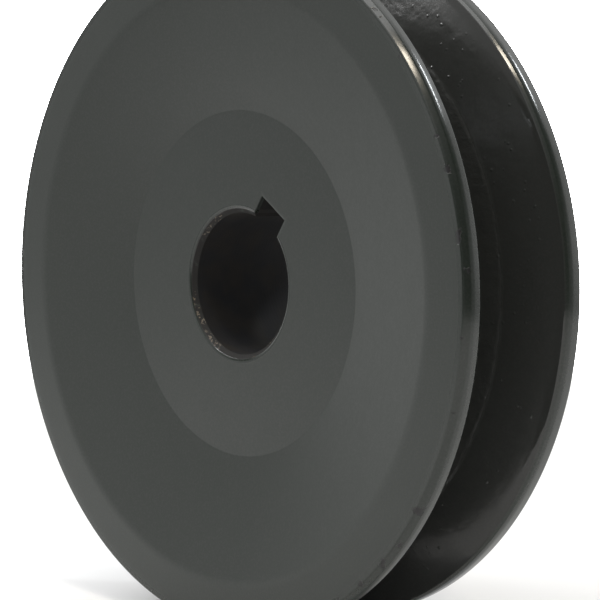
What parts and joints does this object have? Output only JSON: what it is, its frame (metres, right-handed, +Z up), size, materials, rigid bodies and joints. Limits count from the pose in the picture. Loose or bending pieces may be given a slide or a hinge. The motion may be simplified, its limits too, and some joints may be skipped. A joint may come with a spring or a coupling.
{
  "type": "v belt pulley",
  "caption": "Single-groove V-belt pulley with a dished front, a keyed bore, and a rear hub collar with hex socket set screws.",
  "frame": {"origin": "on the shaft axis, in the middle plane of the belt groove", "axes": "+Y along the shaft axis from the dished front face towards the rear hub collar, +Z up as the pulley stands on its rims, keyway 35 degrees clockwise from +Z seen from the front"},
  "size_m": [0.108, 0.0365, 0.108],
  "materials": {
    "grey_paint": "dark grey semi-gloss enamel over cast iron",
    "black_oxide_steel": "black oxide, satin"
  },
  "bodies": {
    "pulley": {"pulley_casting": "grey_paint"},
    "key_screw": {"set_screw_over_key": "black_oxide_steel"},
    "shaft_screw": {"set_screw_quarter_turn": "black_oxide_steel"}
  },
  "joints": [
    {"name": "key_screw_travel", "type": "slide", "parent": "pulley", "child": "key_screw", "axis": [-0.5736, 0, -0.8192], "range_m": [-0.01025, 0.0006]},
    {"name": "shaft_screw_travel", "type": "slide", "parent": "pulley", "child": "shaft_screw", "axis": [-0.8192, 0, 0.5736], "range_m": [-0.01369, 0.0006]}
  ]
}
